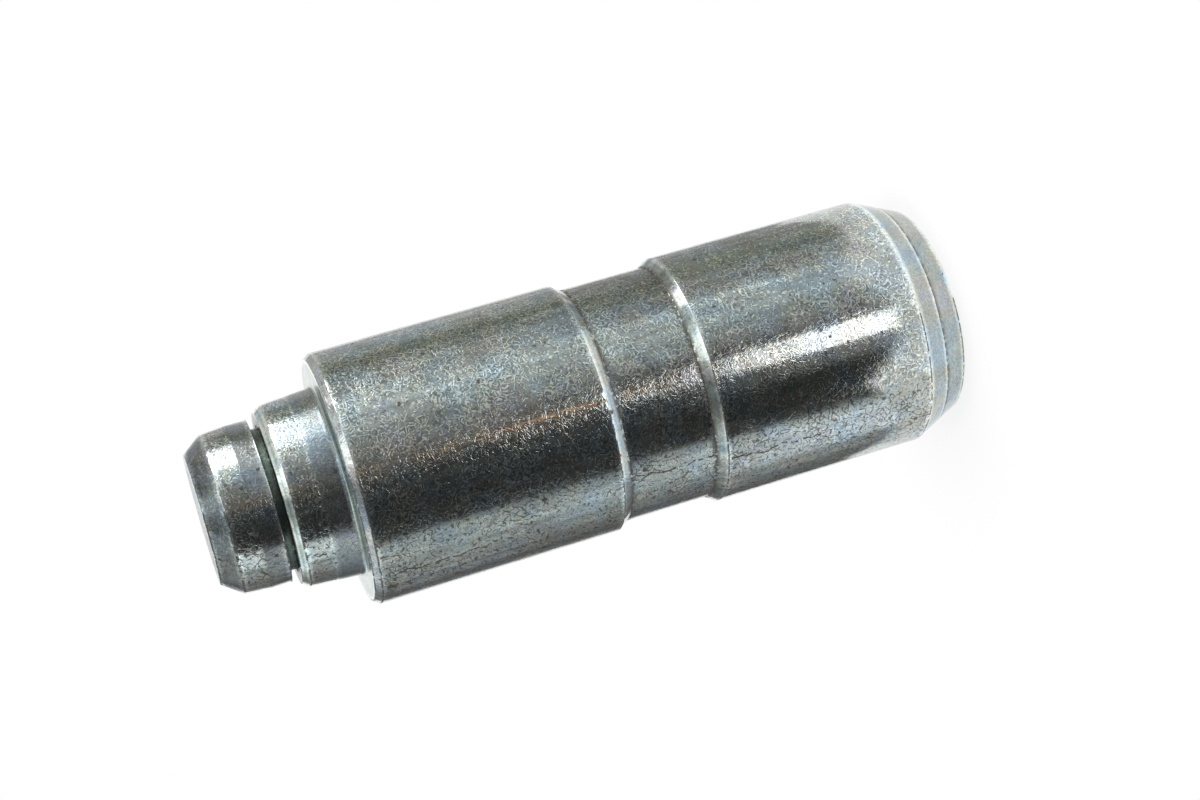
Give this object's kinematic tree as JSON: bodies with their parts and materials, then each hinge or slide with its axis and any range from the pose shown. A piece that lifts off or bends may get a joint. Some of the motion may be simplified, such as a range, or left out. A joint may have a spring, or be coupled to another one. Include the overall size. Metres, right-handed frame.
{
  "type": "brake pivot bolt",
  "caption": "Turned, zinc-plated pivot pin with two journals, a relieved waist, a conical lead-in, a shoulder, a tapered spigot, a retaining-ring groove and a tapered nose.",
  "frame": {"origin": "centre of the flat lead-in end face, which the bolt stands on", "axes": "+Z along the bolt's axis from the lead-in end to the nose; X and Y are square to it, and the turned shape is the same all round"},
  "size_m": [0.03, 0.03, 0.0897],
  "materials": {
    "zinc_plated_steel": "bright zinc plating with a faint blue-green passivated tint, covered in fine tumbling scratches"
  },
  "bodies": {
    "root": {"pivot_bolt": "zinc_plated_steel"}
  },
  "joints": []
}
